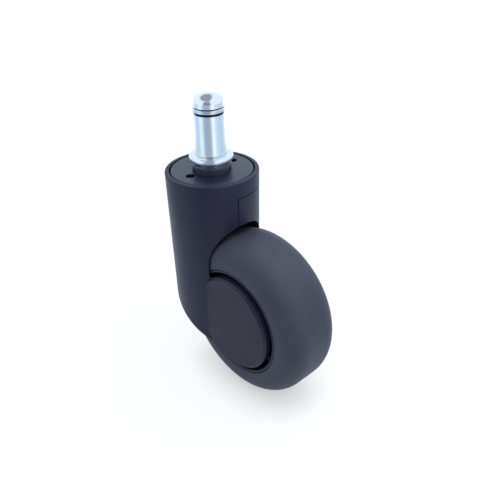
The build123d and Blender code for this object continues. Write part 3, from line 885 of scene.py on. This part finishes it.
class CASTOR_OT_stage(bpy.types.Operator):
    """Sets the camera at the photographed angle, a white floor, a round tent, a grey card and soft lamps"""
    bl_idname = "castor.stage"
    bl_label = "Stage"

    def execute(self, context):
        stage = context.scene.castor_stage
        self.set_camera(context.scene, stage)
        self.set_world(context.scene, stage)
        self.lay_floor(stage)
        self.raise_tent(stage)
        self.hang_card(stage)
        self.hang_lamps(stage)
        context.scene.view_settings.view_transform = "Standard"
        return {"FINISHED"}

    def set_camera(self, scene, stage):
        a, e, r = stage.azimuth, stage.elevation, stage.roll
        back = Vector((math.sin(a) * math.cos(e), -math.cos(a) * math.cos(e), math.sin(e)))
        right = Vector((math.cos(a), math.sin(a), 0))
        up = back.cross(right)
        turned_right = right * math.cos(r) + up * math.sin(r)
        turned_up = up * math.cos(r) - right * math.sin(r)
        target = Vector((0, 0, stage.look_height))
        place = target + back * stage.distance - turned_right * stage.across - turned_up * stage.upward
        data = bpy.data.cameras.new("camera")
        data.sensor_width = 36
        data.lens = stage.lens
        data.clip_start = 0.01
        data.clip_end = 20
        camera = bpy.data.objects.new("camera", data)
        scene.collection.objects.link(camera)
        camera.matrix_world = Matrix((
            (turned_right.x, turned_up.x, back.x, place.x),
            (turned_right.y, turned_up.y, back.y, place.y),
            (turned_right.z, turned_up.z, back.z, place.z),
            (0, 0, 0, 1),
        ))
        scene.camera = camera

    def set_world(self, scene, stage):
        world = bpy.data.worlds.new("studio")
        world.use_nodes = True
        world.node_tree.nodes.clear()
        w = Wiring(world.node_tree)
        sky = {"Color": (*SKY_TONE, 1), "Strength": stage.world_level}
        soft = w.node("ShaderNodeBackground", sky)
        white = w.node("ShaderNodeBackground", {"Color": (1, 1, 1, 1), "Strength": 1.0})
        both = w.node("ShaderNodeMixShader", {0: seen_directly(w), 1: soft.outputs[0], 2: white.outputs[0]})
        w.node("ShaderNodeOutputWorld", {"Surface": both.outputs[0]})
        scene.world = world

    def lay_floor(self, stage):
        low = CAD_BOX[0].z
        corners = [(x * FLOOR_REACH, y * FLOOR_REACH, low) for x, y in ((-1, -1), (1, -1), (1, 1), (-1, 1))]
        floor = panel_mesh("floor", corners)
        material, w = bare_material("white_floor")
        seen = seen_directly(w)
        mirrored = w.node("ShaderNodeLightPath").outputs["Is Glossy Ray"]
        near = w.node("ShaderNodeAmbientOcclusion", {"Distance": stage.contact_reach}, samples=16)
        wide = w.node("ShaderNodeAmbientOcclusion", {"Distance": MIRRORED_REACH}, samples=8)
        depth = stage.contact_depth
        contact = w.maths("MULTIPLY_ADD", near.outputs["AO"], depth, 1 - depth)
        shaded = w.maths("MULTIPLY_ADD", wide.outputs["AO"], MIRRORED_DEPTH, 1 - MIRRORED_DEPTH)
        change = w.maths("MULTIPLY", mirrored, w.maths("SUBTRACT", shaded, contact))
        contact = w.maths("ADD", contact, change)
        place = w.node("ShaderNodeTexCoord").outputs["Object"]
        away = w.node("ShaderNodeVectorMath", {0: place}, operation="LENGTH")
        open_floor = w.ramp(away.outputs["Value"], OPEN_FLOOR[0], OPEN_FLOOR[1], 1 - stage.floor_white)
        level = w.maths("ADD", open_floor, stage.floor_white)
        white = w.maths("MULTIPLY", w.maths("MULTIPLY", seen, contact), level)
        glow_tone = blend_colours(w, mirrored, (1.0, 1.0, 1.0), FLOOR_MIRRORED)
        glow = w.node("ShaderNodeEmission", {"Color": glow_tone, "Strength": white})
        paint = w.node("ShaderNodeBsdfDiffuse", {"Color": blend_colours(w, seen, FLOOR_PAINT, FLOOR_SEEN)})
        both = w.node("ShaderNodeAddShader", {0: paint.outputs[0], 1: glow.outputs[0]})
        w.node("ShaderNodeOutputMaterial", {"Surface": both.outputs[0]})
        floor.data.materials.append(material)

    def raise_tent(self, stage):
        """A round wall that shows only in gloss: pale, with a grey gap where the camera stands."""
        low = CAD_BOX[0].z
        radius, count = stage.tent_radius, TENT_SIDES
        turns = [2 * math.pi * step / count for step in range(count)]
        rings = [(radius * math.cos(turn), radius * math.sin(turn), height)
                 for height in (low, low + stage.tent_height) for turn in turns]
        sides = [(step, (step + 1) % count) for step in range(count)]
        faces = [(a, b, count + b, count + a) for a, b in sides]
        mesh = bpy.data.meshes.new("tent")
        mesh.from_pydata(rings, [], faces)
        tent = bpy.data.objects.new("tent", mesh)
        bpy.context.scene.collection.objects.link(tent)
        only_in_gloss(tent)
        material, w = bare_material("tent_cloth")
        place = w.node("ShaderNodeTexCoord").outputs["Object"]
        facing = {"Vector": place, "Angle": math.pi / 2 - stage.azimuth}
        turned = w.node("ShaderNodeVectorRotate", facing, rotation_type="Z_AXIS")
        parts = w.node("ShaderNodeSeparateXYZ", {"Vector": turned.outputs["Vector"]})
        side = w.maths("ARCTAN2", parts.outputs["Y"], parts.outputs["X"])
        height = w.maths("SUBTRACT", parts.outputs["Z"], low)
        share_round = w.maths("ADD", w.maths("DIVIDE", side, 2 * math.pi), 0.5)
        tones = w.node("ShaderNodeValToRGB", {"Fac": share_round})
        band = tones.color_ramp
        while len(band.elements) < len(TENT_TONES):
            band.elements.new(0.5)
        for element, (turn, tone) in zip(band.elements, TENT_TONES):
            element.position = turn / 360 + 0.5
            element.color = (*tone, 1)
        hem = w.maths("MULTIPLY", w.ramp(height, *HEM_STARTS), w.ramp(height, *HEM_ENDS, HEM_SHARE))
        banded = blend_colours(w, hem, tones.outputs["Color"], HEM_TONE)
        cloth = blend_colours(w, w.ramp(height, *WHITE_STARTS), banded, TENT_WHITE)
        beside = w.maths("ABSOLUTE", w.maths("ADD", side, GAP_TURN))
        gap = w.maths("MULTIPLY", w.ramp(beside, *GAP_SIDES), w.ramp(height, *GAP_STARTS))
        gap_tone = blend_colours(w, w.ramp(height, *GAP_PALES), GAP_TONE, GAP_TOP_TONE)
        shown = blend_colours(w, gap, cloth, gap_tone)
        glow = w.node("ShaderNodeEmission", {"Color": shown, "Strength": 1.0})
        w.node("ShaderNodeOutputMaterial", {"Surface": glow.outputs[0]})
        mesh.materials.append(material)

    def hang_card(self, stage):
        """A grey card over the stem, which its tip and collar show in their gloss."""
        right = Vector((math.cos(stage.azimuth), math.sin(stage.azimuth), 0))
        front = Vector((math.sin(stage.azimuth), -math.cos(stage.azimuth), 0))
        above = Vector((0, 0, STEM_TOP + CARD_RISE))
        corners = [above + right * across + front * ahead for across, ahead in CARD_CORNERS]
        card = panel_mesh("card", corners)
        only_in_gloss(card)
        material, w = bare_material("grey_card")
        glow = w.node("ShaderNodeEmission", {"Color": (*CARD_TONE, 1), "Strength": 1.0})
        w.node("ShaderNodeOutputMaterial", {"Surface": glow.outputs[0]})
        card.data.materials.append(material)

    def hang_lamps(self, stage):
        middle = (0.02, 0, -0.04)
        area_lamp("key", (0.08, 0.18, 0.60), middle, 0.8, stage.key_power)
        area_lamp("side", (0.55, 0.10, 0.15), middle, 0.4, stage.side_power)
        area_lamp("fill", (-0.40, -0.45, 0.25), middle, 0.4, stage.fill_power)


PIECES = (
    CASTOR_OT_stem,
    CASTOR_OT_hood,
    CASTOR_OT_bearing,
    CASTOR_OT_core,
    CASTOR_OT_tyre,
    CASTOR_OT_stage,
)


class CASTOR_PT_panel(bpy.types.Panel):
    """The castor's pieces, sizes and stage"""
    bl_idname = "CASTOR_PT_panel"
    bl_label = "Hooded Chair Castor"
    bl_space_type = "VIEW_3D"
    bl_region_type = "UI"
    bl_category = "Castor"

    def draw(self, context):
        for piece in PIECES:
            self.layout.operator(piece.bl_idname)
        for group in (getattr(context.scene, name) for name in GROUPS):
            box = self.layout.box()
            for name in group.__annotations__:
                box.prop(group, name)


GROUPS = {
    "castor_finish": CastorFinish,
    "castor_stem": CastorStem,
    "castor_tyre": CastorTyre,
    "castor_stage": CastorStage,
}
CLASSES = (*GROUPS.values(), *PIECES, CASTOR_PT_panel)


def register():
    for each in CLASSES:
        bpy.utils.register_class(each)
    for name, group in GROUPS.items():
        setattr(bpy.types.Scene, name, PointerProperty(type=group))


def unregister():
    for name in GROUPS:
        delattr(bpy.types.Scene, name)
    for each in reversed(CLASSES):
        bpy.utils.unregister_class(each)


def main():
    register()
    bpy.ops.castor.stem()
    bpy.ops.castor.hood()
    bpy.ops.castor.bearing()
    bpy.ops.castor.core()
    bpy.ops.castor.tyre()
    bpy.ops.castor.stage()


if __name__ == "__main__":
    main()
